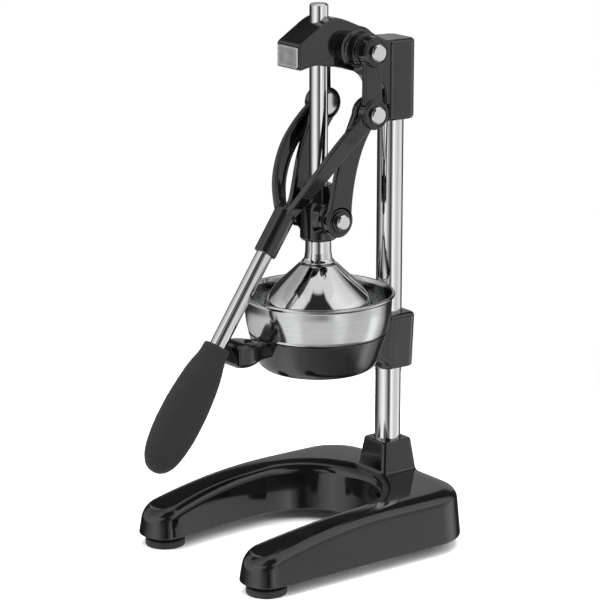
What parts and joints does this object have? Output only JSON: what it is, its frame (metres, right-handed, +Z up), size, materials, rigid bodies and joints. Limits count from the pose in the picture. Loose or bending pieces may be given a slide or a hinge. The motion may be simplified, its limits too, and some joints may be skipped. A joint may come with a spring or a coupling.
{
  "type": "lever citrus press",
  "caption": "Lever citrus press with a cast base and head, chrome column, steel bowl and bell, and a forked lever arm with a long dark grip.",
  "frame": {"origin": "centre of the footprint on the floor plane under the feet", "axes": "+Z up along the column, -Y towards the front, where the lever points, +X to the right seen from the front"},
  "size_m": [0.1726, 0.2486, 0.418],
  "materials": {
    "black_paint": "high gloss black enamel on cast metal",
    "chrome": "polished chrome",
    "brushed_bowl": "fine circular brushing",
    "polished_bell": "polished steel with faint turning marks",
    "zinc_steel": "zinc plated, satin",
    "rubber_feet": "matt black rubber",
    "soft_grip": "matt dark grey soft grip with a fine grain",
    "plate": "satin plate",
    "bush_plastic": "pale bearing plastic"
  },
  "bodies": {
    "root": {"base": "black_paint", "cup_holder": "black_paint", "head": "black_paint", "column": "chrome", "pivot_bolt_left": "chrome", "pivot_bolt_right": "chrome", "juice_bowl": "brushed_bowl", "strainer_plate": "brushed_bowl", "reamer_cone": "polished_bell", "column_bolt": "zinc_steel", "column_washer": "zinc_steel", "foot_screw_1": "zinc_steel", "foot_screw_2": "zinc_steel", "foot_screw_3": "zinc_steel", "foot_screw_4": "zinc_steel", "holder_grub_screw": "zinc_steel", "head_grub_screw": "zinc_steel", "pivot_spacer_left": "zinc_steel", "pivot_spacer_right": "zinc_steel", "foot_1": "rubber_feet", "foot_2": "rubber_feet", "foot_3": "rubber_feet", "foot_4": "rubber_feet", "badge_plate": "plate", "guide_bush": "bush_plastic"},
    "plunger": {"plunger_rod": "chrome", "crosshead": "black_paint", "bell_neck": "polished_bell", "press_bell": "polished_bell", "bell_nut": "zinc_steel", "crosshead_grub_screw": "zinc_steel", "link_bolt_left": "chrome", "link_bolt_right": "chrome", "link_washer_left": "black_paint", "link_washer_right": "black_paint"},
    "lever": {"lever_fork": "black_paint", "lever_rod": "chrome", "grip": "soft_grip", "elbow_pin_left": "chrome", "elbow_pin_right": "chrome"},
    "link_left": {"link_left": "black_paint", "link_pin_left": "chrome"},
    "link_right": {"link_right": "black_paint", "link_pin_right": "chrome"}
  },
  "joints": [
    {"name": "lever_swing", "type": "hinge", "parent": "root", "child": "lever", "pos_m": [0, 0.05846, 0.3834], "axis": [-1, 0, 0], "range_deg": [0, 95]},
    {"name": "plunger_slide", "type": "slide", "parent": "root", "child": "plunger", "axis": [0, 0, 1], "range_m": [0, 0.0492]},
    {"name": "link_left_swing", "type": "hinge", "parent": "plunger", "child": "link_left", "pos_m": [0, 0.03271, 0.258], "axis": [1, 0, 0], "range_deg": [0, 32.7]},
    {"name": "link_right_swing", "type": "hinge", "parent": "plunger", "child": "link_right", "pos_m": [0, 0.03271, 0.258], "axis": [1, 0, 0], "range_deg": [0, 32.7]}
  ],
  "couplings": [
    {"joint": "plunger_slide", "follows": "lever_swing", "m_per_rad": 0.029581},
    {"joint": "link_left_swing", "follows": "lever_swing", "ratio": 0.34134},
    {"joint": "link_right_swing", "follows": "lever_swing", "ratio": 0.34134}
  ]
}
